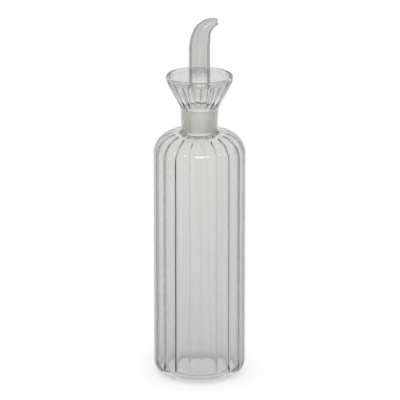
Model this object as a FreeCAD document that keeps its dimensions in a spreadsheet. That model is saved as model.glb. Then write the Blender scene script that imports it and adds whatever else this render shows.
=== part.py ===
import FreeCAD, Part
import math
import os

import Sketcher

# A clear oil bottle of blown glass with a pourer.  The bottle is one piece: a cylindrical body with
# vertical flutes on its inside, a round shoulder, a short ground neck and a fluted drip funnel with a
# rounded rim.  The pourer is a ground hollow plug that sits in the neck, drawn out into a straight tube
# and a curved, tapering beak.  Millimetres; the origin is the middle of the base, +Z is up and the beak
# points along +X.

DIMENSIONS = {
    # the bottle's body
    "body_radius": 32.5,
    "wall_top": 163.0,  # height at which the shoulder begins
    "base_corner": 10.4,
    "wall_glass": 1.8,  # in the middle of a flute
    "base_glass": 3.4,
    "shoulder_corner": 15.0,
    "shoulder_turn": 57.6,  # degrees, before the flatter crown takes over
    "shoulder_crown": 18.0,
    # the flutes, which are the same in number in the body and in the funnel
    "flute_number": 18,
    "body_ridge": 1.25,
    "funnel_ridge": 1.0,
    "ridge_nose": 0.8,
    "first_ridge": 5.0,  # degrees from the front towards +X
    # the neck and its ground socket
    "neck_root": 2.0,
    "neck_radius": 12.7,
    "neck_top_radius": 13.4,
    "neck_length": 14.15,  # from the root's rounding to where the funnel begins to flare
    "socket_radius": 10.4,  # at the socket's wide end
    "socket_rise": 1.75,  # how far the socket's wide end lies above the neck's end
    "ground_taper": 0.05,  # change of radius for each millimetre of height
    # the funnel
    "flare_radius": 8.0,
    "lip_radius": 13.6,
    "lip_lean": 4.0,  # degrees from upright, where the lip runs into the rim's bead
    "funnel_glass": 1.9,
    "funnel_radius": 23.65,
    "funnel_height": 25.15,  # from the neck's end to the top of the rim
    "rim_bead": 1.6,
    # the pourer
    "fit_clearance": 0.05,
    "plug_length": 17.0,
    "plug_glass": 2.4,
    "plug_shoulder": 3.0,  # height of the plug's shoulder above the ground cone
    "tube_radius": 7.45,
    "tube_glass": 1.9,
    "tube_length": 41.7,  # from the plug's top to where the beak begins to bend
    "first_bend_radius": 43.0,
    "first_bend": 15.0,  # degrees
    "second_bend_radius": 12.0,
    "second_bend": 70.0,  # degrees
    "beak_taper": 1.95,  # exponent of the beak's thinning along its length
    "tip_radius": 2.35,
    "tip_glass": 1.05,
    "tip_bead": 0.7,  # radius of the fire-polished ring round the tip
}

SHOULDER_RISE = (
    "(Dimensions.shoulder_corner * sin(Dimensions.shoulder_turn * 1 deg)"
    " + Dimensions.shoulder_crown * (1 - sin(Dimensions.shoulder_turn * 1 deg)))"
)
SHOULDER_TOP = f"(Dimensions.wall_top + {SHOULDER_RISE})"
NECK_FOOT = f"({SHOULDER_TOP} + Dimensions.neck_root)"
NECK_TOP = f"({NECK_FOOT} + Dimensions.neck_length)"
SOCKET_TOP = f"({NECK_TOP} + Dimensions.socket_rise)"
FUNNEL_TOP = f"({NECK_TOP} + Dimensions.funnel_height)"
BEAD_HEIGHT = f"({FUNNEL_TOP} - Dimensions.rim_bead)"
LIP_REACH = "(Dimensions.lip_radius - Dimensions.rim_bead)"
LIP_HEIGHT = f"({BEAD_HEIGHT} + {LIP_REACH} * sin(Dimensions.lip_lean * 1 deg))"
TUBE_TOP = f"({SOCKET_TOP} + Dimensions.tube_length)"
PLUG_FOOT = f"({SOCKET_TOP} - Dimensions.plug_length)"
PLUG_TOP_RADIUS = "(Dimensions.socket_radius - Dimensions.fit_clearance)"
CHAMBER_TOP = f"({SOCKET_TOP} - Dimensions.plug_glass)"
CHAMBER_TOP_RADIUS = f"({PLUG_TOP_RADIUS} - Dimensions.plug_glass)"
TUBE_BORE = "(Dimensions.tube_radius - Dimensions.tube_glass)"
TIP_BORE = "(Dimensions.tip_radius - Dimensions.tip_glass)"

FLOOR_STATIONS = (-90, -76, -60, -42, -24, -10, 0)  # degrees round the room's lower corner
SHOULDER_STEPS = 8  # cross-sections over the shoulder
SHOULDER_RIDGES = (60, 88)  # degrees of the shoulder's turn between which its ridges fade away
SLANT_LIMIT = 0.1  # least cosine used for the slant of a level section
FUNNEL_STATIONS = (0.13, 0.2, 0.28, 0.41, 0.54, 0.68, 0.79, 0.87, 0.94)  # shares of the way to the bead
FUNNEL_RIDGES = (0.36, 0.78)  # shares of that way where the ridges are full and where they fade again
FUNNEL_GLASS = (0.3, 0.86)  # shares of that way where the neck's glass has thinned and the bead's begins
TUBE_STEPS = 11  # cross-sections along the straight tube
BEAK_STEPS = (3, 6)  # cross-sections along the beak's first and second bend


def make_sheet(doc):
    sheet = doc.addObject("Spreadsheet::Sheet", "Dimensions")
    for row, (alias, number) in enumerate(DIMENSIONS.items(), start=1):
        sheet.set(f"A{row}", alias)
        sheet.set(f"B{row}", str(number))
        sheet.setAlias(f"B{row}", alias)
    doc.recompute()
    return sheet


def reader(sheet):
    """A function that gives a named dimension, or the value of an expression of them, as a number."""

    def size(words):
        return float(sheet.evalExpression(words if "." in words else f"Dimensions.{words}"))

    return size


def plane_of(body, role):
    for feature in body.Origin.OriginFeatures:
        if feature.Role == role:
            return feature
    raise LookupError(role)


def upright_sketch(body, name):
    """A sketch in the body's own XZ plane: its x is the radius and its y is the height."""
    sketch = body.newObject("Sketcher::SketchObject", name)
    sketch.AttachmentSupport = [(plane_of(body, "XZ_Plane"), "")]
    sketch.MapMode = "FlatFace"
    return sketch


def point(radius, height):
    return FreeCAD.Vector(radius, height, 0)


def around(centre, radius, degrees):
    angle = math.radians(degrees)
    return centre + point(radius * math.cos(angle), radius * math.sin(angle))


def line(sketch, start, end):
    return sketch.addGeometry(Part.LineSegment(start, end), False)


def arc(sketch, centre, start, end):
    """The arc from start to end, the short way round its centre, whichever hand that is."""
    first = math.atan2(start.y - centre.y, start.x - centre.x)
    last = math.atan2(end.y - centre.y, end.x - centre.x)
    radius = (start - centre).Length
    turn = (last - first + math.pi) % (2 * math.pi) - math.pi
    low = first if turn > 0 else last
    circle = Part.Circle(centre, FreeCAD.Vector(0, 0, 1), radius)
    return sketch.addGeometry(Part.ArcOfCircle(circle, low, low + abs(turn)), False)


def end_near(sketch, edge, place):
    """1 for the edge's start and 2 for its end, whichever lies at the place."""
    starts = sketch.getPoint(edge, 1) - place
    ends = sketch.getPoint(edge, 2) - place
    return 1 if starts.Length < ends.Length else 2


def join(sketch, first, second, place, kind):
    ends = (end_near(sketch, first, place), end_near(sketch, second, place))
    sketch.addConstraint(Sketcher.Constraint(kind, first, ends[0], second, ends[1]))


def bind(sketch, constraint, name, expression):
    index = sketch.addConstraint(constraint)
    sketch.renameConstraint(index, name)
    sketch.setExpression(f"Constraints.{name}", expression)


def hold_radius(sketch, edge, dimension):
    """Binds an arc's radius to the dimension of that name."""
    constraint = Sketcher.Constraint("Radius", edge, sketch.Geometry[edge].Radius)
    bind(sketch, constraint, dimension, f"Dimensions.{dimension}")


def hold_x(sketch, edge, end, name, expression):
    """Binds how far an edge's point lies from the axis."""
    constraint = Sketcher.Constraint("DistanceX", -1, 1, edge, end, sketch.getPoint(edge, end).x)
    bind(sketch, constraint, name, expression)


def hold_y(sketch, edge, end, name, expression):
    """Binds the height of an edge's point."""
    constraint = Sketcher.Constraint("DistanceY", -1, 1, edge, end, sketch.getPoint(edge, end).y)
    bind(sketch, constraint, name, expression)


def shoulder_places(size):
    """Centres of the shoulder's two arcs and the three points where they start, meet and end."""
    corner = point(size("body_radius") - size("shoulder_corner"), size("wall_top"))
    start = around(corner, size("shoulder_corner"), 0)
    meet = around(corner, size("shoulder_corner"), size("shoulder_turn"))
    step = size("shoulder_crown") - size("shoulder_corner")
    crown = around(corner, -step, size("shoulder_turn"))
    top = around(crown, size("shoulder_crown"), 90)
    return corner, crown, start, meet, top


def funnel_places(size):
    """The funnel's outside: flare arc, straight slope and lip arc, which runs into the rim's bead."""
    foot = point(size("neck_radius"), size(NECK_FOOT))
    head = point(size("neck_top_radius"), size(NECK_TOP))
    lean = math.degrees(math.atan2(head.x - foot.x, head.y - foot.y))
    flare = around(head, size("flare_radius"), -lean)
    bead = point(size("funnel_radius") - size("rim_bead"), size(BEAD_HEIGHT))
    lip = around(bead, size("lip_radius") - size("rim_bead"), 180 - size("lip_lean"))
    rim = around(bead, size("rim_bead"), -size("lip_lean"))
    # The slope is the line that touches both arcs and passes between their centres.
    apart = lip - flare
    both = size("flare_radius") + size("lip_radius")
    slope = 90 - math.degrees(math.atan2(apart.y, apart.x) - math.asin(both / apart.Length))
    flare_end = around(flare, size("flare_radius"), 180 - slope)
    slope_end = around(lip, size("lip_radius"), -slope)
    return {
        "foot": foot,
        "head": head,
        "lean": lean,
        "slope": slope,
        "flare": flare,
        "flare_end": flare_end,
        "slope_end": slope_end,
        "lip": lip,
        "rim": rim,
        "bead": bead,
    }


def glass_outline(body, size):
    """The outside of the bottle, closed along the axis, so that it revolves into a full solid."""
    sketch = upright_sketch(body, "GlassOutline")
    corner, crown, start, meet, top = shoulder_places(size)
    funnel = funnel_places(size)
    radius = size("body_radius")
    round_base = size("base_corner")
    origin = point(0, 0)
    base_end = point(radius - round_base, 0)
    wall_foot = point(radius, round_base)
    root_start = point(size("neck_radius") + size("neck_root"), top.y)
    bead_top = point(funnel["bead"].x, size(FUNNEL_TOP))
    axis_top = point(0, size(FUNNEL_TOP))
    base_centre = point(radius - round_base, round_base)
    # The root's arc meets the leaning neck a little above its centre, where the neck's line touches it.
    lean = funnel["lean"]
    root_centre = point(root_start.x, top.y + size("neck_root"))
    root_end = around(root_centre, size("neck_root"), 180 - lean)

    base = line(sketch, origin, base_end)
    base_arc = arc(sketch, base_centre, base_end, wall_foot)
    wall = line(sketch, wall_foot, start)
    corner_arc = arc(sketch, corner, start, meet)
    crown_arc = arc(sketch, crown, meet, top)
    ledge = line(sketch, top, root_start)
    root_arc = arc(sketch, root_centre, root_start, root_end)
    neck = line(sketch, root_end, funnel["head"])
    flare_arc = arc(sketch, funnel["flare"], funnel["head"], funnel["flare_end"])
    slope = line(sketch, funnel["flare_end"], funnel["slope_end"])
    lip_arc = arc(sketch, funnel["lip"], funnel["slope_end"], funnel["rim"])
    bead_arc = arc(sketch, funnel["bead"], funnel["rim"], bead_top)
    mouth = line(sketch, bead_top, axis_top)
    axis = line(sketch, axis_top, origin)

    join(sketch, base, base_arc, base_end, "Tangent")
    join(sketch, base_arc, wall, wall_foot, "Tangent")
    join(sketch, wall, corner_arc, start, "Tangent")
    join(sketch, corner_arc, crown_arc, meet, "Tangent")
    join(sketch, crown_arc, ledge, top, "Tangent")
    join(sketch, ledge, root_arc, root_start, "Tangent")
    join(sketch, root_arc, neck, root_end, "Tangent")
    join(sketch, neck, flare_arc, funnel["head"], "Tangent")
    join(sketch, flare_arc, slope, funnel["flare_end"], "Tangent")
    join(sketch, slope, lip_arc, funnel["slope_end"], "Tangent")
    join(sketch, lip_arc, bead_arc, funnel["rim"], "Tangent")
    join(sketch, bead_arc, mouth, bead_top, "Tangent")
    join(sketch, mouth, axis, axis_top, "Coincident")
    join(sketch, axis, base, origin, "Coincident")
    sketch.addConstraint(Sketcher.Constraint("Coincident", base, 1, -1, 1))
    sketch.addConstraint(Sketcher.Constraint("Horizontal", base))
    sketch.addConstraint(Sketcher.Constraint("Horizontal", ledge))
    sketch.addConstraint(Sketcher.Constraint("Vertical", axis))

    hold_radius(sketch, base_arc, "base_corner")
    hold_radius(sketch, corner_arc, "shoulder_corner")
    hold_radius(sketch, crown_arc, "shoulder_crown")
    hold_radius(sketch, root_arc, "neck_root")
    hold_radius(sketch, flare_arc, "flare_radius")
    hold_radius(sketch, lip_arc, "lip_radius")
    hold_radius(sketch, bead_arc, "rim_bead")
    hold_x(sketch, wall, 1, "body_radius", "Dimensions.body_radius")
    hold_y(sketch, wall, 2, "wall_top", "Dimensions.wall_top")
    turn = Sketcher.Constraint("Angle", corner_arc, math.radians(size("shoulder_turn")))
    bind(sketch, turn, "shoulder_turn", "Dimensions.shoulder_turn * 1 deg")
    hold_x(sketch, ledge, 2, "root_reach", "Dimensions.neck_radius + Dimensions.neck_root")
    hold_x(sketch, neck, 2, "neck_top_radius", "Dimensions.neck_top_radius")
    hold_y(sketch, neck, 2, "neck_top", NECK_TOP)
    hold_y(sketch, lip_arc, 3, "lip_height", LIP_HEIGHT)
    hold_x(sketch, bead_arc, 3, "bead_radius", "Dimensions.funnel_radius - Dimensions.rim_bead")
    hold_y(sketch, mouth, 1, "funnel_top", FUNNEL_TOP)
    return sketch


def mouth_outline(body, size):
    """What the rim's bead leaves open: from its inner side up over its top."""
    sketch = upright_sketch(body, "MouthOutline")
    bead = funnel_places(size)["bead"]
    inner = point(bead.x - size("rim_bead"), bead.y)
    top = point(bead.x, size(FUNNEL_TOP))
    floor_start = point(0, bead.y)
    axis_top = point(0, size(FUNNEL_TOP))
    floor = line(sketch, floor_start, inner)
    bead_arc = arc(sketch, bead, inner, top)
    cover = line(sketch, top, axis_top)
    axis = line(sketch, axis_top, floor_start)
    join(sketch, floor, bead_arc, inner, "Coincident")
    join(sketch, bead_arc, cover, top, "Tangent")
    join(sketch, cover, axis, axis_top, "Coincident")
    join(sketch, axis, floor, floor_start, "Coincident")
    sketch.addConstraint(Sketcher.Constraint("PointOnObject", floor, 1, -2))
    sketch.addConstraint(Sketcher.Constraint("Vertical", axis))
    sketch.addConstraint(Sketcher.Constraint("Horizontal", floor))
    sketch.addConstraint(Sketcher.Constraint("Horizontal", cover))
    hold_radius(sketch, bead_arc, "rim_bead")
    hold_x(sketch, bead_arc, 3, "bead_radius", "Dimensions.funnel_radius - Dimensions.rim_bead")
    hold_y(sketch, bead_arc, 3, "bead_height", BEAD_HEIGHT)
    hold_y(sketch, floor, 1, "floor_height", BEAD_HEIGHT)
    return sketch


def revolve(body, sketch, kind, name):
    feature = body.newObject(kind, name)
    feature.Profile = sketch
    feature.ReferenceAxis = (sketch, ["V_Axis"])
    feature.Angle = 360
    body.Document.recompute()
    return feature


def make_blank(doc, size):
    """The bottle's outer form as one full solid, with only the rim's mouth opened."""
    body = doc.addObject("PartDesign::Body", "Blank")
    revolve(body, glass_outline(body, size), "PartDesign::Revolution", "GlassForm")
    full = body.Shape.Volume
    revolve(body, mouth_outline(body, size), "PartDesign::Groove", "Mouth")
    if body.Shape.Volume >= full:
        raise ValueError("the mouth's groove cut nothing")
    return body


def ridge_nose(radius, ridge, nose, half_turn):
    """Where a flute's arc runs smoothly into the round nose of the ridge beside it.

    It is given as the angle from the ridge's middle and the share of the ridge's height.  The flute is
    an arc that touches the wall's radius in its middle and the nose's circle from outside.
    """
    reach = radius - ridge + nose
    cosine = math.cos(half_turn)
    over = reach * reach - 2 * reach * radius * cosine + radius * radius - nose * nose
    flute = over / (2 * (nose + radius - reach * cosine))
    middle = radius - flute
    away_x = reach * cosine - middle
    away_y = reach * math.sin(half_turn)
    share = flute / (flute + nose)
    meet_x = middle + away_x * share
    meet_y = away_y * share
    angle = half_turn - math.atan2(meet_y, meet_x)
    return angle, (radius - math.hypot(meet_x, meet_y)) / ridge


def fluted_section(size, radius, height, ridge, nose):
    """A level closed wire: round flutes out to the radius, with rounded ridges between them."""
    count = int(size("flute_number"))
    half_turn = math.pi / count
    nose_angle, nose_share = nose
    shoulder = radius - ridge * nose_share
    start = math.radians(size("first_ridge") - 90)

    def place(distance, angle):
        return FreeCAD.Vector(distance * math.cos(angle), distance * math.sin(angle), height)

    edges = []
    for number in range(count):
        ridge_at = start + 2 * half_turn * number
        flute_at = ridge_at + half_turn
        first = place(shoulder, ridge_at - nose_angle)
        crest = place(radius - ridge, ridge_at)
        second = place(shoulder, ridge_at + nose_angle)
        middle = place(radius, flute_at)
        third = place(shoulder, ridge_at + 2 * half_turn - nose_angle)
        edges.append(Part.Arc(first, crest, second).toShape())
        edges.append(Part.Arc(second, middle, third).toShape())
    return Part.Wire(edges)


def eased(share):
    """0 to 1 with a smooth start and end."""
    share = min(max(share, 0.0), 1.0)
    return share * share * (3 - 2 * share)


def hollow_loft(size, stations, nose):
    wires = [fluted_section(size, r, z, ridge, nose) for r, z, ridge in stations]
    return Part.makeLoft(wires, True, False)


def body_hollow(size):
    """The room inside the body: fluted wall, rounded floor and shoulder, where the ridges fade away."""
    glass = size("wall_glass")
    ridge = size("body_ridge")
    radius = size("body_radius") - glass
    nose = ridge_nose(radius, ridge, size("ridge_nose"), math.pi / size("flute_number"))
    floor_round = size("base_corner") - glass
    floor_centre = point(radius - floor_round, size("base_glass") + floor_round)
    floor = []
    for degrees in FLOOR_STATIONS:
        at = around(floor_centre, floor_round, degrees)
        floor.append((at.x, at.y, ridge * at.x / radius))
    wall = [floor[-1], (radius, size("wall_top"), ridge)]
    corner, crown, _, _, _ = shoulder_places(size)
    turn = size("shoulder_turn")
    shoulder = [wall[-1]]
    for step in range(1, SHOULDER_STEPS + 1):
        degrees = 90 * step / SHOULDER_STEPS
        if degrees <= turn:
            at = around(corner, size("shoulder_corner") - glass, degrees)
        else:
            at = around(crown, size("shoulder_crown") - glass, degrees)
        # A ridge's height is measured square to the wall, and a level section cuts it at a slant.
        full, gone = SHOULDER_RIDGES
        height = ridge * (1 - eased((degrees - full) / (gone - full)))
        shoulder.append((at.x, at.y, height / max(math.cos(math.radians(degrees)), SLANT_LIMIT)))
    lofts = [hollow_loft(size, stations, nose) for stations in (floor, wall, shoulder)]
    return lofts[0].fuse(lofts[1:]).removeSplitter()


def funnel_station(size, share):
    """A point of the funnel's outside, by its share of the way from the neck to the bead, and the
    direction straight out of the glass there, in degrees."""
    places = funnel_places(size)
    lean = places["lean"]
    slope = places["slope"]
    flare_length = size("flare_radius") * math.radians(slope - lean)
    slope_length = (places["slope_end"] - places["flare_end"]).Length
    lip_length = size("lip_radius") * math.radians(slope - size("lip_lean"))
    along = share * (flare_length + slope_length + lip_length)
    if along < flare_length:
        normal = -lean - math.degrees(along / size("flare_radius"))
        return around(places["flare"], size("flare_radius"), 180 + normal), normal
    along -= flare_length
    if along < slope_length:
        return around(places["flare_end"], along, 90 - slope), -slope
    along -= slope_length
    normal = -slope + math.degrees(along / size("lip_radius"))
    return around(places["lip"], size("lip_radius"), normal), normal


def funnel_hollow(size):
    """The room inside the funnel: from the socket's wide end out to the smooth inner side of the bead."""
    glass = size("funnel_glass")
    ridge = size("funnel_ridge")
    radius = size("funnel_radius") - glass
    nose = ridge_nose(radius, ridge, size("ridge_nose"), math.pi / size("flute_number"))
    bead = funnel_places(size)["bead"]
    neck_glass = size("neck_top_radius") - size("socket_radius") - glass
    bead_glass = 2 * size("rim_bead") - glass
    stations = [(size("socket_radius"), size(SOCKET_TOP), 0.0)]
    for share in FUNNEL_STATIONS:
        at, normal = funnel_station(size, share)
        below = neck_glass * (1 - eased(share / FUNNEL_GLASS[0]))
        above = bead_glass * eased((share - FUNNEL_GLASS[1]) / (1 - FUNNEL_GLASS[1]))
        inside = around(at, -(glass + below + above), normal)
        rising = eased(share / FUNNEL_RIDGES[0])
        fading = eased((share - FUNNEL_RIDGES[1]) / (1 - FUNNEL_RIDGES[1]))
        stations.append((inside.x, inside.y, ridge * rising * (1 - fading) * inside.x / radius))
    stations.append((bead.x - size("rim_bead"), bead.y, 0.0))
    return hollow_loft(size, stations, nose)


def make_feature(doc, name, shape):
    feature = doc.addObject("Part::Feature", name)
    feature.Shape = shape
    feature.Placement = FreeCAD.Placement()
    return feature


def make_socket(doc):
    """The ground cone in the neck, from the room in the body up to the funnel's floor."""
    socket = doc.addObject("Part::Cone", "Socket")
    foot = f"({SHOULDER_TOP} - Dimensions.wall_glass)"
    length = f"({SOCKET_TOP} - {foot})"
    socket.setExpression("Placement.Base.z", foot)
    socket.setExpression("Height", length)
    socket.setExpression("Radius2", "Dimensions.socket_radius")
    socket.setExpression("Radius1", f"Dimensions.socket_radius - {length} * Dimensions.ground_taper")
    return socket


def make_bottle(doc, size):
    blank = make_blank(doc, size)
    rooms = doc.addObject("Part::MultiFuse", "Rooms")
    rooms.Shapes = [
        make_feature(doc, "BodyRoom", body_hollow(size)),
        make_socket(doc),
        make_feature(doc, "FunnelRoom", funnel_hollow(size)),
    ]
    bottle = doc.addObject("Part::Cut", "Bottle")
    bottle.Base = blank
    bottle.Tool = rooms
    bottle.Label = "bottle"
    return bottle


def stem_outline(body, name, size, corners):
    """A closed outline along the axis, through corners given by the expressions of their radius and
    height: the foot and top of a leaning side, and the rim of the cover."""
    sketch = upright_sketch(body, name)
    places = [point(size(radius), size(height)) for radius, height in corners]
    places = [point(0, places[0].y), *places, point(0, places[-1].y)]
    edges = []
    for start, end in zip(places, places[1:] + places[:1]):
        edges.append(line(sketch, start, end))
    for edge, after in zip(edges, edges[1:] + edges[:1]):
        sketch.addConstraint(Sketcher.Constraint("Coincident", edge, 2, after, 1))
    floor, cover, axis = edges[0], edges[-2], edges[-1]
    sketch.addConstraint(Sketcher.Constraint("PointOnObject", floor, 1, -2))
    sketch.addConstraint(Sketcher.Constraint("Horizontal", floor))
    sketch.addConstraint(Sketcher.Constraint("Horizontal", cover))
    sketch.addConstraint(Sketcher.Constraint("Vertical", axis))
    for number, (edge, (radius, height)) in enumerate(zip(edges, corners)):
        hold_x(sketch, edge, 2, f"radius{number}", radius)
        hold_y(sketch, edge, 2, f"height{number}", height)
    return sketch


def plug_outline(body, size):
    """The ground cone of the plug, as a full solid up to the top of its sloping shoulder."""
    narrowing = "Dimensions.plug_length * Dimensions.ground_taper"
    corners = [
        (f"({PLUG_TOP_RADIUS} - {narrowing})", PLUG_FOOT),
        (PLUG_TOP_RADIUS, SOCKET_TOP),
        (TUBE_BORE, f"({SOCKET_TOP} + Dimensions.plug_shoulder)"),
    ]
    return stem_outline(body, "PlugOutline", size, corners)


def chamber_outline(body, size):
    """The room inside the plug, whose shoulder narrows at its top to less than the tube's bore."""
    narrowing = "(Dimensions.plug_length - Dimensions.plug_glass) * Dimensions.ground_taper"
    shoulder = "(Dimensions.plug_shoulder + Dimensions.plug_glass)"
    corners = [
        (f"({CHAMBER_TOP_RADIUS} - {narrowing})", PLUG_FOOT),
        (CHAMBER_TOP_RADIUS, CHAMBER_TOP),
        (f"({CHAMBER_TOP_RADIUS} - {shoulder})", f"({CHAMBER_TOP} + {shoulder})"),
    ]
    return stem_outline(body, "ChamberOutline", size, corners)


def beak_station(number, start):
    """Expressions for a cross-section of the tube and its beak: its middle's x and z, the lean of its
    axis from upright in degrees, and its share of the way along the beak.  Numbers below zero lie on
    the straight tube, which begins at the start, and the number after the last lies past the tip."""
    first_steps, second_steps = BEAK_STEPS
    last = first_steps + second_steps
    if number < 0:
        return "0", f"{TUBE_TOP} + ({TUBE_TOP} - {start}) * {number / TUBE_STEPS}", "0", "0"
    past = "2 * Dimensions.tip_bead" if number > last else "0"
    number = min(number, last)
    first = f"Dimensions.first_bend * {min(number / first_steps, 1)}"
    second = f"Dimensions.second_bend * {max((number - first_steps) / second_steps, 0)}"
    lean = f"({first} + {second})"
    near = "Dimensions.first_bend_radius"
    far = "Dimensions.second_bend_radius"
    x = f"{near} * (1 - cos({first} * 1 deg)) + {far} * (cos({first} * 1 deg) - cos({lean} * 1 deg))"
    rise = f"{near} * sin({first} * 1 deg) + {far} * (sin({lean} * 1 deg) - sin({first} * 1 deg))"
    x = f"{x} + {past} * sin({lean} * 1 deg)"
    z = f"{TUBE_TOP} + {rise} + {past} * cos({lean} * 1 deg)"
    way = f"({near} * {first} + {far} * {second})"
    whole = f"({near} * Dimensions.first_bend + {far} * Dimensions.second_bend)"
    return x, z, lean, f"({way} / {whole})"


def set_on_beak(feature, place, station):
    """Puts a feature's placement across the beak at a station."""
    x, z, lean, _ = station
    turned = FreeCAD.Rotation(FreeCAD.Vector(0, 1, 0), 1)
    setattr(feature, place, FreeCAD.Placement(FreeCAD.Vector(0, 0, 0), turned))
    feature.setExpression(f"{place}.Base.x", x)
    feature.setExpression(f"{place}.Base.z", z)
    feature.setExpression(f"{place}.Rotation.Angle", lean)


def tube_sections(body, size, start, at_tube, at_tip, numbers):
    """Round cross-sections along the tube and the beak, thinning from the tube's radius to the tip's."""
    sketches = []
    for number in numbers:
        station = beak_station(number, start)
        sketch = body.newObject("Sketcher::SketchObject", f"{body.Name}Ring")
        sketch.AttachmentSupport = [(plane_of(body, "XY_Plane"), "")]
        sketch.MapMode = "FlatFace"
        set_on_beak(sketch, "AttachmentOffset", station)
        radius = f"{at_tube} + ({at_tip} - {at_tube}) * pow({station[3]}; Dimensions.beak_taper)"
        circle = Part.Circle(point(0, 0), FreeCAD.Vector(0, 0, 1), size(radius))
        ring = sketch.addGeometry(circle, False)
        sketch.addConstraint(Sketcher.Constraint("Coincident", ring, 3, -1, 1))
        bind(sketch, Sketcher.Constraint("Radius", ring, circle.Radius), "radius", radius)
        sketches.append(sketch)
    return sketches


def loft(body, sketches, kind, name):
    feature = body.newObject(kind, name)
    feature.Profile = sketches[0]
    feature.Sections = sketches[1:]
    body.Document.recompute()
    return feature


def drawn_tube(doc, size, name, outline, start, at_tube, at_tip, past):
    """A full solid: a revolved plug with a tube drawn out of it into a bent and tapering beak."""
    body = doc.addObject("PartDesign::Body", name)
    revolve(body, outline(body, size), "PartDesign::Revolution", f"{name}Plug")
    plug = body.Shape.Volume
    numbers = range(-TUBE_STEPS, sum(BEAK_STEPS) + 1 + past)
    sections = tube_sections(body, size, start, at_tube, at_tip, numbers)
    loft(body, sections, "PartDesign::AdditiveLoft", f"{name}Tube")
    if body.Shape.Volume <= plug:
        raise ValueError(f"{name} has no tube")
    return body


def make_tip_ring(doc):
    """The fire-polished ring that closes the glass between the beak's outside and its bore."""
    ring = doc.addObject("Part::Torus", "TipRing")
    set_on_beak(ring, "Placement", beak_station(sum(BEAK_STEPS), ""))
    ring.setExpression("Radius1", "Dimensions.tip_radius - Dimensions.tip_glass / 2")
    ring.setExpression("Radius2", "Dimensions.tip_bead")
    return ring


def make_spout(doc, size):
    tube = doc.addObject("Part::Cut", "PourerTube")
    outer_ends = ("Dimensions.tube_radius", "Dimensions.tip_radius")
    tube.Base = drawn_tube(doc, size, "PourerForm", plug_outline, SOCKET_TOP, *outer_ends, 0)
    tube.Tool = drawn_tube(doc, size, "PourerBore", chamber_outline, CHAMBER_TOP, TUBE_BORE, TIP_BORE, 1)
    spout = doc.addObject("Part::Fuse", "Spout")
    spout.Base = tube
    spout.Tool = make_tip_ring(doc)
    spout.Label = "spout"
    doc.recompute()
    return spout


def check(doc, pieces):
    """Refuses to go on if any object failed or any piece isn't one sound solid."""
    for item in doc.Objects:
        if "Invalid" in item.State or "Error" in item.State:
            raise ValueError(f"{item.Name} is {item.State}")
    for piece in pieces:
        shape = piece.Shape
        if shape.isNull() or not shape.isValid() or len(shape.Solids) != 1:
            raise ValueError(f"{piece.Label} isn't one sound solid")


def main():
    doc = FreeCAD.newDocument("OilBottle")
    sheet = make_sheet(doc)
    size = reader(sheet)
    pieces = [make_bottle(doc, size), make_spout(doc, size)]
    doc.recompute()
    check(doc, pieces)
    os.makedirs("parts", exist_ok=True)
    for piece in pieces:
        piece.Shape.exportStep(f"parts/{piece.Label}.step")
        box = piece.Shape.BoundBox
        print(piece.Label, "volume", round(piece.Shape.Volume, 1), "mm3", box)


main()
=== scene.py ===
from math import asin, atan2, cos, degrees, hypot, pi, radians, sin, sqrt

import bmesh
import bpy
from mathutils import Matrix, Vector


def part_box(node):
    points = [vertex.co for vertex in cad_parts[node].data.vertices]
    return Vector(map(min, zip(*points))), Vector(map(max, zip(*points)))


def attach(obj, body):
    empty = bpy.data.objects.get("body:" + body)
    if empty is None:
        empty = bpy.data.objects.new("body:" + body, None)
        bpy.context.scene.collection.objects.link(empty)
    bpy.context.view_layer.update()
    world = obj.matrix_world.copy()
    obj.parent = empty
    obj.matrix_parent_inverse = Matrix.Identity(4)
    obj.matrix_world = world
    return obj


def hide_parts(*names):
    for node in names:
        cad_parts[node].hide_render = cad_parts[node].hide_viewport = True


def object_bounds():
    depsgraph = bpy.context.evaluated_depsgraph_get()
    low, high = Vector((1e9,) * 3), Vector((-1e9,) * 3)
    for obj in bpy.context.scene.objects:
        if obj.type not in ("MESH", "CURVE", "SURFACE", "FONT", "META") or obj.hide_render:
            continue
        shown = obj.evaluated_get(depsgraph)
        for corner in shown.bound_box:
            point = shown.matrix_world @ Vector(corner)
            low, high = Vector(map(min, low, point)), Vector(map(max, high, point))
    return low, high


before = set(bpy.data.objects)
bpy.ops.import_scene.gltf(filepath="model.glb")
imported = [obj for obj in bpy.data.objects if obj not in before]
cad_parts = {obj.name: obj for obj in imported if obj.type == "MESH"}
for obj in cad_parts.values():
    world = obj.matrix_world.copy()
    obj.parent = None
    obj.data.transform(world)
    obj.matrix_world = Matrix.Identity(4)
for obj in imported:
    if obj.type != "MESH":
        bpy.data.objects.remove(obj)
cad_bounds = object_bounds()


# ---------------------------------------------------------------------------------------------- bottle
# The bottle is one piece of clear borosilicate glass, blown so that its outside is smooth and eighteen
# flutes run up its inside, with a ridge between each two.  The neck's socket is ground matt, and the
# fluted funnel above it, which catches drips, ends in a fire-polished bead.

_, bottle_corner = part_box("bottle")
body_radius = bottle_corner[0]
rim_height = bottle_corner[2]
whole_height = cad_bounds[1][2]

wall_glass = 0.0018
base_glass = 0.0034
base_corner = 0.0104
wall_top = 0.163
shoulder_corner = 0.015
shoulder_turn = 57.6
shoulder_crown = 0.018

flute_number = 18
body_ridge = 0.00125
funnel_ridge = 0.0010
ridge_nose = 0.0008
first_ridge = radians(5 - 90)  # 5 degrees from the front towards +X
flute_steps = 24
ridges_full_to = 60  # degrees of the shoulder's turn
ridges_gone_at = 88

neck_root = 0.002
neck_radius = 0.0127
neck_top_radius = 0.0134
neck_length = 0.01415
socket_radius = 0.0104
socket_rise = 0.00175
socket_length = 0.0197
ground_taper = 0.05
socket_edge = 0.0006

flare_radius = 0.008
lip_radius = 0.0136
lip_lean = 4.0
funnel_glass = 0.0019
rim_bead = 0.0016
funnel_radius = 0.02365
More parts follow.
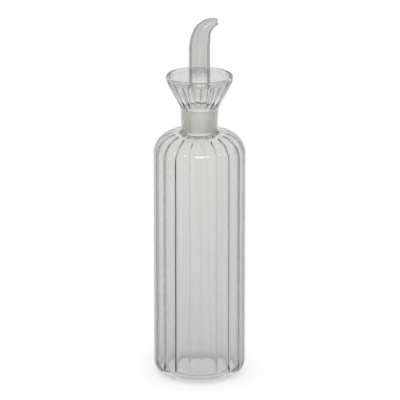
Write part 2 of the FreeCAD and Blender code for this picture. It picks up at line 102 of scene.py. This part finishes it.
# These are shares of the way up the funnel's glass, from the neck to the bead.
funnel_room_foot = 0.1
neck_thinned = 0.3
bead_thickens = 0.86
funnel_ridges_full = 0.36
funnel_ridges_fade = 0.78

# The outline's points on a straight stretch lie closer together at its ends.
long_shares = (0.006, 0.03, 0.25, 0.5, 0.75, 0.97, 0.994, 1)
short_shares = (0.03, 0.25, 0.5, 0.75, 0.97, 1)


def draw_line(bm, end, radius, height, shares=(1.0,)):
    """Draws the outline on from its last vertex, straight to a radius and height."""
    start = end.co.copy()
    goal = Vector((radius, 0, height))
    for share in shares:
        end = bmesh.ops.extrude_vert_indiv(bm, verts=[end])["verts"][0]
        end.co = start.lerp(goal, share)
    return end


def way_at(angle):
    """The direction in the outline's plane at an angle above level, in degrees."""
    return Vector((cos(radians(angle)), 0, sin(radians(angle))))


def draw_arc(bm, end, centre, turn, steps):
    """Draws the outline on from its last vertex by an arc, anticlockwise where the turn is positive."""
    made = bmesh.ops.spin(
        bm,
        geom=[end],
        cent=centre,
        axis=(0, -1, 0),
        angle=radians(turn),
        steps=steps,
        use_duplicate=False,
    )
    return [item for item in made["geom_last"] if isinstance(item, bmesh.types.BMVert)][0]


def eased(share):
    """0 to 1 with a smooth start and end."""
    share = min(max(share, 0.0), 1.0)
    return share * share * (3 - 2 * share)


def ridge_profile(radius, ridge, nose):
    """How far the glass stands in from the flutes' radius, as a function of the angle from a ridge.

    A flute is an arc that touches that radius in its middle and runs smoothly into the ridge's round
    nose.
    """
    half_turn = pi / flute_number
    reach = radius - ridge + nose
    over = reach * reach - 2 * reach * radius * cos(half_turn) + radius * radius - nose * nose
    flute = over / (2 * (nose + radius - reach * cos(half_turn)))
    middle = radius - flute
    share = flute / (flute + nose)
    meet_x = middle + (reach * cos(half_turn) - middle) * share
    meet_y = reach * sin(half_turn) * share
    nose_angle = half_turn - atan2(meet_y, meet_x)

    def height(angle):
        away = abs((angle + half_turn) % (2 * half_turn) - half_turn)
        if away < nose_angle:
            return radius - reach * cos(away) + sqrt(nose * nose - (reach * sin(away)) ** 2)
        aside = half_turn - away
        return radius - middle * cos(aside) - sqrt(flute * flute - (middle * sin(aside)) ** 2)

    return height


def spin_round(bm, steps):
    """Turns the outline once round the upright axis and closes it at the seam and the poles."""
    bmesh.ops.spin(
        bm,
        geom=bm.verts[:] + bm.edges[:],
        cent=(0, 0, 0),
        axis=(0, 0, 1),
        angle=2 * pi,
        steps=steps,
        use_merge=True,
        use_duplicate=False,
    )
    bmesh.ops.remove_doubles(bm, verts=bm.verts[:], dist=1e-7)


def finish_piece(bm, name, material):
    """Makes a closed, smooth object of the mesh, with its faces pointing outwards."""
    bmesh.ops.recalc_face_normals(bm, faces=bm.faces[:])
    for face in bm.faces:
        face.smooth = True
    mesh = bpy.data.meshes.new(name)
    bm.to_mesh(mesh)
    bm.free()
    mesh.materials.append(material)
    piece = bpy.data.objects.new(name, mesh)
    bpy.context.collection.objects.link(piece)
    return piece


def make_glass(name, shade_zones, ground_tint, density, grazing_from, grazing_to, edge):
    """Clear glass with faint waves from blowing, greyed by painted shade in zones of height and colour.

    It is matt where the mesh's ground attribute is 1.  Where its outside attribute is 1, painted shade
    dims it towards grazing angles, down to the share that edge gives.
    """
    material = bpy.data.materials.new(name)
    material.use_nodes = True
    nodes = material.node_tree.nodes
    links = material.node_tree.links
    glass = nodes["Principled BSDF"]
    glass.inputs["IOR"].default_value = 1.47
    glass.inputs["Transmission Weight"].default_value = 1.0

    ground = nodes.new("ShaderNodeAttribute")
    ground.attribute_name = "ground"
    places = nodes.new("ShaderNodeTexCoord")

    smears = nodes.new("ShaderNodeTexNoise")
    smears.inputs["Scale"].default_value = 60.0
    smears.inputs["Detail"].default_value = 3.0
    links.new(places.outputs["Object"], smears.inputs["Vector"])
    polish = nodes.new("ShaderNodeMapRange")
    polish.inputs["From Min"].default_value = 0.55
    polish.inputs["From Max"].default_value = 0.85
    polish.inputs["To Min"].default_value = 0.0
    polish.inputs["To Max"].default_value = 0.03
    links.new(smears.outputs["Fac"], polish.inputs["Value"])
    roughness = nodes.new("ShaderNodeMix")
    roughness.inputs["B"].default_value = 0.6
    links.new(ground.outputs["Fac"], roughness.inputs["Factor"])
    links.new(polish.outputs["Result"], roughness.inputs["A"])
    links.new(roughness.outputs["Result"], glass.inputs["Roughness"])

    parts = nodes.new("ShaderNodeSeparateXYZ")
    links.new(places.outputs["Object"], parts.inputs["Vector"])
    raised = nodes.new("ShaderNodeMath")
    raised.operation = "DIVIDE"
    raised.inputs[1].default_value = whole_height
    links.new(parts.outputs["Z"], raised.inputs[0])
    # Painted shade: a grey ramp by height darkens the clear glass, standing in for the darker
    # surroundings seen through it.
    painted_shade_ramp = nodes.new("ShaderNodeValToRGB")
    stops = painted_shade_ramp.color_ramp.elements
    stops.remove(stops[1])
    stops[0].color = (*shade_zones[0][1], 1)
    for height, shade_tint in shade_zones:
        stops.new(height / whole_height).color = (*shade_tint, 1)
    links.new(raised.outputs["Value"], painted_shade_ramp.inputs["Fac"])
    stretched = nodes.new("ShaderNodeMapping")
    stretched.inputs["Scale"].default_value = (1, 1, 0.02)
    links.new(places.outputs["Object"], stretched.inputs["Vector"])
    draws = nodes.new("ShaderNodeTexNoise")
    draws.inputs["Scale"].default_value = 420.0
    draws.inputs["Detail"].default_value = 2.0
    links.new(stretched.outputs["Vector"], draws.inputs["Vector"])
    streaks = nodes.new("ShaderNodeMapRange")
    streaks.inputs["From Min"].default_value = 0.3
    streaks.inputs["From Max"].default_value = 0.7
    streaks.inputs["To Min"].default_value = 0.94
    streaks.inputs["To Max"].default_value = 1.05
    links.new(draws.outputs["Fac"], streaks.inputs["Value"])
    streaked = nodes.new("ShaderNodeVectorMath")
    streaked.operation = "SCALE"
    links.new(painted_shade_ramp.outputs["Color"], streaked.inputs[0])
    links.new(streaks.outputs["Result"], streaked.inputs["Scale"])
    colour = nodes.new("ShaderNodeMix")
    colour.data_type = "RGBA"
    colour.inputs[7].default_value = (*ground_tint, 1)
    links.new(streaked.outputs["Vector"], colour.inputs[6])
    links.new(ground.outputs["Fac"], colour.inputs[0])

    # Painted shade: where the outside attribute is 1 the colour darkens at grazing angles, standing in
    # for the dark edges that the surroundings give the glass.
    grazing = nodes.new("ShaderNodeLayerWeight")
    grazing.inputs["Blend"].default_value = 0.5
    dimming = nodes.new("ShaderNodeMapRange")
    dimming.interpolation_type = "SMOOTHSTEP"
    dimming.inputs["From Min"].default_value = grazing_from
    dimming.inputs["From Max"].default_value = grazing_to
    dimming.inputs["To Min"].default_value = 1.0
    dimming.inputs["To Max"].default_value = edge
    links.new(grazing.outputs["Facing"], dimming.inputs["Value"])
    outside = nodes.new("ShaderNodeAttribute")
    outside.attribute_name = "outside"
    painted_edge_shade = nodes.new("ShaderNodeMix")
    painted_edge_shade.inputs["A"].default_value = 1.0
    links.new(outside.outputs["Fac"], painted_edge_shade.inputs["Factor"])
    links.new(dimming.outputs["Result"], painted_edge_shade.inputs["B"])
    dimmed = nodes.new("ShaderNodeVectorMath")
    dimmed.operation = "SCALE"
    links.new(colour.outputs[2], dimmed.inputs[0])
    links.new(painted_edge_shade.outputs["Result"], dimmed.inputs["Scale"])
    links.new(dimmed.outputs["Vector"], glass.inputs["Base Color"])

    waves = nodes.new("ShaderNodeTexNoise")
    waves.inputs["Scale"].default_value = 90.0
    waves.inputs["Detail"].default_value = 1.0
    links.new(places.outputs["Object"], waves.inputs["Vector"])
    blown = nodes.new("ShaderNodeBump")
    blown.inputs["Strength"].default_value = 0.15
    blown.inputs["Distance"].default_value = 0.0003
    links.new(waves.outputs["Fac"], blown.inputs["Height"])
    links.new(blown.outputs["Normal"], glass.inputs["Normal"])

    # Painted shade: the volume absorption greys the clear glass by the length of its path, standing in
    # for the darker surroundings it shows.
    volume = nodes.new("ShaderNodeVolumeAbsorption")
    volume.inputs["Color"].default_value = (0.50, 0.52, 0.48, 1)
    volume.inputs["Density"].default_value = density
    links.new(volume.outputs["Volume"], nodes["Material Output"].inputs["Volume"])
    return material


bm = bmesh.new()
inward_layer = bm.verts.layers.float.new("inward")
upward_layer = bm.verts.layers.float.new("upward")
ground_layer = bm.verts.layers.float.new("ground")
grazing_shade_layer = bm.verts.layers.float.new("outside")
sunk_layer = bm.verts.layers.float.new("sunk")


def raise_ridge(vert, away, height):
    """Notes how far a ridge's crest stands out of the wall at a vertex of the outline."""
    vert[inward_layer] = height * away.x
    vert[upward_layer] = -height * away.z


# The outside, from the middle of the base up to the bead.
end = bm.verts.new((0, 0, 0))
foot_radius = body_radius - base_corner
end = draw_line(bm, end, foot_radius, 0, (0.3, 0.6, 0.85, 0.96, 1))
end = draw_arc(bm, end, (foot_radius, 0, base_corner), 90, 12)
last_foot = len(bm.verts) - 2
end = draw_line(bm, end, body_radius, wall_top, long_shares)
corner_centre = Vector((body_radius - shoulder_corner, 0, wall_top))
crown_centre = corner_centre - (shoulder_crown - shoulder_corner) * way_at(shoulder_turn)
end = draw_arc(bm, end, corner_centre, shoulder_turn, 10)
end = draw_arc(bm, end, crown_centre, 90 - shoulder_turn, 7)
first_crown = len(bm.verts) - 3
shoulder_height = end.co.z
neck_foot = shoulder_height + neck_root
neck_top = neck_foot + neck_length
neck_lean = degrees(atan2(neck_top_radius - neck_radius, neck_length))
root_radius = neck_radius + neck_root
end = draw_line(bm, end, root_radius, shoulder_height)
end = draw_arc(bm, end, (root_radius, 0, neck_foot), neck_lean - 90, 7)
end = draw_line(bm, end, neck_top_radius, neck_top, (0.06, 0.35, 0.65, 0.94, 1))
flare_centre = Vector((neck_top_radius, 0, neck_top)) + flare_radius * way_at(-neck_lean)
bead_centre = Vector((funnel_radius - rim_bead, 0, rim_height - rim_bead))
lip_centre = bead_centre - (lip_radius - rim_bead) * way_at(-lip_lean)
apart = lip_centre - flare_centre
both_radii = flare_radius + lip_radius
funnel_slope = 90 - degrees(atan2(apart.z, apart.x) - asin(both_radii / apart.length))
slope_end = lip_centre + lip_radius * way_at(-funnel_slope)
first_funnel = len(bm.verts) - 1
end = draw_arc(bm, end, flare_centre, neck_lean - funnel_slope, 7)
last_flare = len(bm.verts) - 1
end = draw_line(bm, end, slope_end.x, slope_end.z, (0.05, 0.2, 0.4, 0.6, 0.8, 0.95, 1))
end = draw_arc(bm, end, lip_centre, funnel_slope - lip_lean, 16)
last_funnel = len(bm.verts) - 1
end = draw_arc(bm, end, bead_centre, 180 + lip_lean, 14)
bm.verts.ensure_lookup_table()
# The outside attribute sets how much painted shade darkens the glass at grazing angles: half on the
# foot, none on the crown, neck, flare and inside, full on the rest of the outside.
for number, vert in enumerate(bm.verts):
    vert[grazing_shade_layer] = 0.5 if number <= last_foot else 1.0
    if first_crown <= number <= last_flare:
        vert[grazing_shade_layer] = 0.0

# The inside of the funnel keeps its glass's thickness from the outside, and thickens to the bead.
funnel = [vert.co.copy() for vert in bm.verts[first_funnel : last_funnel + 1]]
lengths = [0.0]
for before, after in zip(funnel, funnel[1:]):
    lengths.append(lengths[-1] + (after - before).length)
neck_glass = neck_top_radius - socket_radius - funnel_glass
bead_glass = 2 * rim_bead - funnel_glass
for number in range(len(funnel) - 2, 0, -1):
    share = lengths[number] / lengths[-1]
    if share < funnel_room_foot:
        break
    way = (funnel[number + 1] - funnel[number - 1]).normalized()
    away = Vector((way.z, 0, -way.x))
    below = neck_glass * (1 - eased(share / neck_thinned))
    above = bead_glass * eased((share - bead_thickens) / (1 - bead_thickens))
    inside = funnel[number] - away * (funnel_glass + below + above)
    end = draw_line(bm, end, inside.x, inside.z)
    end[grazing_shade_layer] = 0.0
    rising = eased(share / funnel_ridges_full)
    fading = 1 - eased((share - funnel_ridges_fade) / (1 - funnel_ridges_fade))
    raise_ridge(end, away, funnel_ridge * rising * fading * inside.x / (funnel_radius - funnel_glass))

# The ground socket, from its wide end down to its foot.
socket_top = neck_top + socket_rise
socket_foot = socket_top - socket_length
socket_foot_radius = socket_radius - socket_length * ground_taper
end = draw_line(bm, end, socket_radius, socket_top, (0.9, 1))
raise_ridge(end, way_at(0), 0)
socket_first = len(bm.verts)
end = draw_line(bm, end, socket_foot_radius, socket_foot + socket_edge, short_shares)
bm.verts.ensure_lookup_table()
for vert in bm.verts[socket_first:-1]:
    vert[ground_layer] = 1.0
end = draw_arc(bm, end, (socket_foot_radius + socket_edge, 0, socket_foot + socket_edge), 90, 5)

# The room inside the body: the shoulder, the wall and the floor.
inner_radius = body_radius - wall_glass
room_first = len(bm.verts)
end = draw_line(bm, end, crown_centre.x, crown_centre.z + shoulder_crown - wall_glass, (0.3, 0.7, 1))
end = draw_arc(bm, end, crown_centre, shoulder_turn - 90, 9)
end = draw_arc(bm, end, corner_centre, -shoulder_turn, 14)
bm.verts.ensure_lookup_table()
for vert in bm.verts[room_first:]:
    on_crown = (vert.co - corner_centre).angle(way_at(0)) > radians(shoulder_turn)
    centre = crown_centre if on_crown else corner_centre
    away = (vert.co - centre).normalized()
    up = degrees(asin(away.z))
    fading = 1 - eased((up - ridges_full_to) / (ridges_gone_at - ridges_full_to))
    raise_ridge(vert, away, body_ridge * fading)

# The ridges run straight down, and the floor's round corner cuts them off.
floor_corner = base_corner - wall_glass
floor_centre = Vector((inner_radius - floor_corner, 0, base_glass + floor_corner))
end = draw_line(bm, end, inner_radius, floor_centre.z, long_shares)
floor_first = len(bm.verts)
end = draw_arc(bm, end, floor_centre, -90, 24)
bm.verts.ensure_lookup_table()
for vert in bm.verts[floor_first:]:
    raise_ridge(vert, way_at(0), body_ridge)
    vert[sunk_layer] = inner_radius - vert.co.x
raise_ridge(end, way_at(0), 0)
end = draw_line(bm, end, 0, base_glass, (0.04, 0.15, 0.4, 0.7, 1))

spin_round(bm, flute_number * flute_steps)
body_profile = ridge_profile(inner_radius, body_ridge, ridge_nose)
for vert in bm.verts:
    radius = hypot(vert.co.x, vert.co.y)
    if vert[inward_layer] > 0 or vert[upward_layer] != 0:
        share = body_profile(atan2(vert.co.y, vert.co.x) - first_ridge) / body_ridge
        shrink = 1 - max(vert[inward_layer] * share - vert[sunk_layer], 0) / radius
        vert.co = (vert.co.x * shrink, vert.co.y * shrink, vert.co.z + vert[upward_layer] * share)
for used in ("upward", "inward", "sunk"):
    bm.verts.layers.float.remove(bm.verts.layers.float[used])

clear = (1, 1, 1)
ground_tint = (1, 1, 0.97)
zone_blend = 0.004
upper_funnel = rim_height - 0.010
# Painted shade: the clear glass is greyed by height to stand in for the darker surroundings it shows,
# darkest at the base and the funnel's top and clear at the neck.
bottle_shade_zones = [
    (base_glass, (0.70, 0.70, 0.70)),
    (base_corner, (0.745, 0.745, 0.745)),
    (wall_top, (0.80, 0.80, 0.795)),
    (shoulder_height, (0.82, 0.82, 0.81)),
    (neck_foot, clear),
    (socket_top, clear),
    (socket_top + zone_blend, (0.88, 0.88, 0.87)),
    (upper_funnel, (0.70, 0.70, 0.695)),
]
bottle_glass = make_glass(
    "bottle_glass",
    bottle_shade_zones,
    ground_tint,
    density=14.0,
    grazing_from=0.45,
    grazing_to=0.75,
    edge=0.5,
)
bottle = finish_piece(bm, "fluted_bottle", bottle_glass)
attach(bottle, "root")
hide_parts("bottle")


# ---------------------------------------------------------------------------------------------- pourer
# The pourer is a hollow plug of the same glass, ground matt where it sits in the socket.  A straight
# tube is drawn out of it and bent at its top into a beak, which thins towards its open tip.  The tip's
# edge is melted round in a flame.

spout_foot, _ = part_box("spout")
plug_foot = spout_foot[2]
fit_clearance = 0.00005
plug_radius = socket_radius - fit_clearance
plug_foot_radius = plug_radius - (socket_top - plug_foot) * ground_taper
plug_glass = 0.0024
plug_shoulder = 0.003
tube_radius = 0.00745
tube_glass = 0.0019
tube_top = socket_top + 0.0417
first_bend_radius = 0.043
first_bend = 15
second_bend_radius = 0.012
second_bend = 70
beak_taper = 1.95
tip_radius = 0.00235
tip_glass = 0.00105
tip_bead = 0.0007
bead_start = -48  # degrees round the tip's bead, up to 90 at its crest
bead_turn = 138
bead_steps = 6
first_bend_steps = 8
second_bend_steps = 26
round_steps = 96

edge_round = 0.0006  # round edges at the top and the foot of the plug's shoulder
tube_foot_swell = 0.0004
ground_edge = 0.0001
ground_edge_height = 0.0002
foot_round = 0.0008

bm = bmesh.new()
ground_layer = bm.verts.layers.float.new("ground")
grazing_shade_layer = bm.verts.layers.float.new("outside")

# The outline of plug and tube, from the tube's top down its outside and up again through the bore.
bore = tube_radius - tube_glass
end = bm.verts.new((tube_radius, 0, tube_top))
# Painted shade darkens the tube's outside and the beak at grazing angles; the plug and the bore have
# none.
end[grazing_shade_layer] = 1.0
shoulder_top = socket_top + plug_shoulder
end = draw_line(bm, end, tube_radius, shoulder_top + edge_round, short_shares)
end[grazing_shade_layer] = 0.0
end = draw_line(bm, end, tube_radius + tube_foot_swell, shoulder_top - edge_round)
end = draw_line(bm, end, plug_radius - edge_round, socket_top + edge_round, (0.3, 0.6, 1))
end = draw_line(bm, end, plug_radius - ground_edge, socket_top + ground_edge_height)
ground_first = len(bm.verts)
end = draw_line(bm, end, plug_radius, socket_top)
end = draw_line(bm, end, plug_foot_radius, plug_foot + foot_round, short_shares)
bm.verts.ensure_lookup_table()
for vert in bm.verts[ground_first:]:
    vert[ground_layer] = 1.0
end = draw_arc(bm, end, (plug_foot_radius - foot_round, 0, plug_foot + foot_round), -90, 5)
bm.verts.ensure_lookup_table()
for vert in bm.verts[-4:]:
    vert[ground_layer] = 0.0
chamber_foot_radius = plug_foot_radius - plug_glass
end = draw_line(bm, end, chamber_foot_radius + foot_round, plug_foot)
end = draw_arc(bm, end, (chamber_foot_radius + foot_round, 0, plug_foot + foot_round), -90, 5)
chamber_top = socket_top - plug_glass
end = draw_line(bm, end, plug_radius - plug_glass, chamber_top, (0.05, 0.3, 0.6, 0.95, 1))
end = draw_line(bm, end, bore, chamber_top + plug_radius - plug_glass - bore, (0.3, 0.7, 1))
end = draw_line(bm, end, bore, tube_top, short_shares)
spin_round(bm, round_steps)


def beak_station(bend, step, steps):
    """The middle, lean and share of the way along the beak of one of its cross-sections."""
    first = radians(first_bend) * (step / steps if bend == 1 else 1)
    second = radians(second_bend) * (step / steps if bend == 2 else 0)
    lean = first + second
    x = first_bend_radius * (1 - cos(first)) + second_bend_radius * (cos(first) - cos(lean))
    z = tube_top + first_bend_radius * sin(first) + second_bend_radius * (sin(lean) - sin(first))
    way = first_bend_radius * first + second_bend_radius * second
    whole = first_bend_radius * radians(first_bend) + second_bend_radius * radians(second_bend)
    return x, z, lean, way / whole


def across(x, z, lean, radius, ahead=0.0):
    """Places a circle of radius 1 across the beak, and a little ahead along its axis."""
    turned = Matrix.Translation((x, 0, z)) @ Matrix.Rotation(lean, 4, "Y")
    return turned @ Matrix.Translation((0, 0, ahead)) @ Matrix.Diagonal((radius, radius, 1, 1))


def draw_ring(bm, ring, old, new):
    """Draws the glass on from an open ring of edges to its next cross-section."""
    made = bmesh.ops.extrude_edge_only(bm, edges=ring)["geom"]
    verts = [item for item in made if isinstance(item, bmesh.types.BMVert)]
    bmesh.ops.transform(bm, matrix=new @ old.inverted(), verts=verts)
    fresh = set(verts)
    return [edge for edge in bm.edges if edge.verts[0] in fresh and edge.verts[1] in fresh]


# The beak's outside and bore are drawn on ring by ring, and the tip's bead joins them.
open_edges = [edge for edge in bm.edges if edge.is_boundary]
stations = [beak_station(1, step, first_bend_steps) for step in range(first_bend_steps + 1)]
stations += [beak_station(2, step, second_bend_steps) for step in range(1, second_bend_steps + 1)]
tip_rings = []
middle_radius = (tube_radius + bore) / 2
surfaces = ((tube_radius, tip_radius, True), (bore, tip_radius - tip_glass, False))
for at_tube, at_tip, outside in surfaces:
    ring = [edge for edge in open_edges if (edge.verts[0].co.xy.length > middle_radius) == outside]
    old = across(*stations[0][:3], at_tube)
    for x, z, lean, share in stations[1:-1]:
        new = across(x, z, lean, at_tube + (at_tip - at_tube) * share**beak_taper)
        ring = draw_ring(bm, ring, old, new)
        old = new
    x, z, lean, _ = stations[-1]
    bead_middle = tip_radius - tip_glass / 2
    side = 1 if outside else -1
    for number in range(bead_steps + 1):
        turn = radians(bead_start + bead_turn * number / bead_steps)
        new = across(x, z, lean, bead_middle + side * tip_bead * cos(turn), tip_bead * sin(turn))
        # The outside's last ring is the bead's crest, so the bore's rings stop one short of it.
        if number == bead_steps and not outside:
            break
        ring = draw_ring(bm, ring, old, new)
        old = new
    tip_rings += ring
bmesh.ops.bridge_loops(bm, edges=tip_rings)

# Painted shade: the beak is greyed where it stands above the bottle's rim, standing in for the darker
# surroundings it shows there.
pourer_shade_zones = [
    (socket_top, clear),
    (rim_height - zone_blend, clear),
    (rim_height + zone_blend, (0.73, 0.73, 0.725)),
]
pourer_glass = make_glass(
    "pourer_glass",
    pourer_shade_zones,
    ground_tint,
    density=14.0,
    grazing_from=0.28,
    grazing_to=0.36,
    edge=0.22,
)
pourer = finish_piece(bm, "glass_pourer", pourer_glass)
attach(pourer, "root")
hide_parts("spout")


# ----------------------------------------------------------------------------------------------- floor
# The bottle stands on a wide sheet of pale matt card, laid flat, which runs far enough back to fill the
# view behind it.  A faint glow makes it as pale as the sky, but only where it is seen directly, in a
# reflection or through the glass.

floor_half = 2.5
floor_mesh = bpy.data.meshes.new("floor")
bm = bmesh.new()
bmesh.ops.create_grid(bm, x_segments=1, y_segments=1, size=floor_half)
bm.to_mesh(floor_mesh)
bm.free()
floor = bpy.data.objects.new("floor", floor_mesh)
bpy.context.collection.objects.link(floor)



def seen_directly(nodes, links):
    """1 for the rays that the eye sees, also in a reflection or through glass, and 0 for the others."""
    rays = nodes.new("ShaderNodeLightPath")
    total = rays.outputs["Is Camera Ray"]
    for kind in ("Is Glossy Ray", "Is Transmission Ray"):
        either = nodes.new("ShaderNodeMath")
        either.operation = "ADD"
        either.use_clamp = True
        links.new(total, either.inputs[0])
        links.new(rays.outputs[kind], either.inputs[1])
        total = either.outputs["Value"]
    return total


sheet = bpy.data.materials.new("pale_sheet")
sheet.use_nodes = True
sheet_nodes = sheet.node_tree.nodes
sheet_links = sheet.node_tree.links
sheet_nodes.remove(sheet_nodes["Principled BSDF"])
matt = sheet_nodes.new("ShaderNodeBsdfDiffuse")
matt.inputs["Color"].default_value = (0.8, 0.8, 0.8, 1)
glow = sheet_nodes.new("ShaderNodeEmission")
share_seen = sheet_nodes.new("ShaderNodeMath")
share_seen.operation = "MULTIPLY"
share_seen.inputs[1].default_value = 0.43
sheet_links.new(seen_directly(sheet_nodes, sheet_links), share_seen.inputs[0])
sheet_links.new(share_seen.outputs["Value"], glow.inputs["Strength"])
both = sheet_nodes.new("ShaderNodeAddShader")
sheet_links.new(matt.outputs["BSDF"], both.inputs[0])
sheet_links.new(glow.outputs["Emission"], both.inputs[1])
sheet_links.new(both.outputs["Shader"], sheet_nodes["Material Output"].inputs["Surface"])
floor_mesh.materials.append(sheet)


# ------------------------------------------------------------------------------------- light and camera
# The studio is an even white sky, which lights the sheet a little less than it shows, and one broad
# softbox above the front, whose reflection lies on the shoulder and the beak.  The camera looks down at
# the bottle from the front through a long lens.

world = bpy.data.worlds.new("studio")
bpy.context.scene.world = world
world.use_nodes = True
world_nodes = world.node_tree.nodes
world_links = world.node_tree.links
sky = world_nodes.new("ShaderNodeMapRange")
sky.inputs["To Min"].default_value = 0.7
sky.inputs["To Max"].default_value = 1.0
world_links.new(seen_directly(world_nodes, world_links), sky.inputs["Value"])
world_nodes["Background"].inputs["Color"].default_value = (1, 1, 1, 1)
world_links.new(sky.outputs["Result"], world_nodes["Background"].inputs["Strength"])

lamp = bpy.data.lights.new("softbox", "AREA")
lamp.shape = "RECTANGLE"
lamp.size = 1.1
lamp.size_y = 0.34
lamp.energy = 9.0
softbox = bpy.data.objects.new("softbox", lamp)
bpy.context.collection.objects.link(softbox)
lamp_distance = 2
lamp_rise = radians(28)
lamp_aside = 0.15
lamp_centre = 0.13
lamp_height = lamp_centre + lamp_distance * sin(lamp_rise)
softbox.location = (lamp_aside, -lamp_distance * cos(lamp_rise), lamp_height)
middle = Vector((0, 0, rim_height / 2))
softbox.rotation_euler = (middle - softbox.location).to_track_quat("-Z", "Y").to_euler()

camera_data = bpy.data.cameras.new("camera")
camera_data.sensor_width = 36.0
camera_data.lens = 381.5
camera = bpy.data.objects.new("camera", camera_data)
bpy.context.collection.objects.link(camera)
bpy.context.scene.camera = camera
camera_rise = radians(17)
camera_distance = 3.0
camera_centre = 0.125
camera_aim = Vector((0.00035, 0.00084, 0.12775))
camera_height = camera_centre + camera_distance * sin(camera_rise)
camera.location = (0, -camera_distance * cos(camera_rise), camera_height)
camera.rotation_euler = (camera_aim - camera.location).to_track_quat("-Z", "Y").to_euler()

bpy.context.scene.view_settings.view_transform = "Standard"
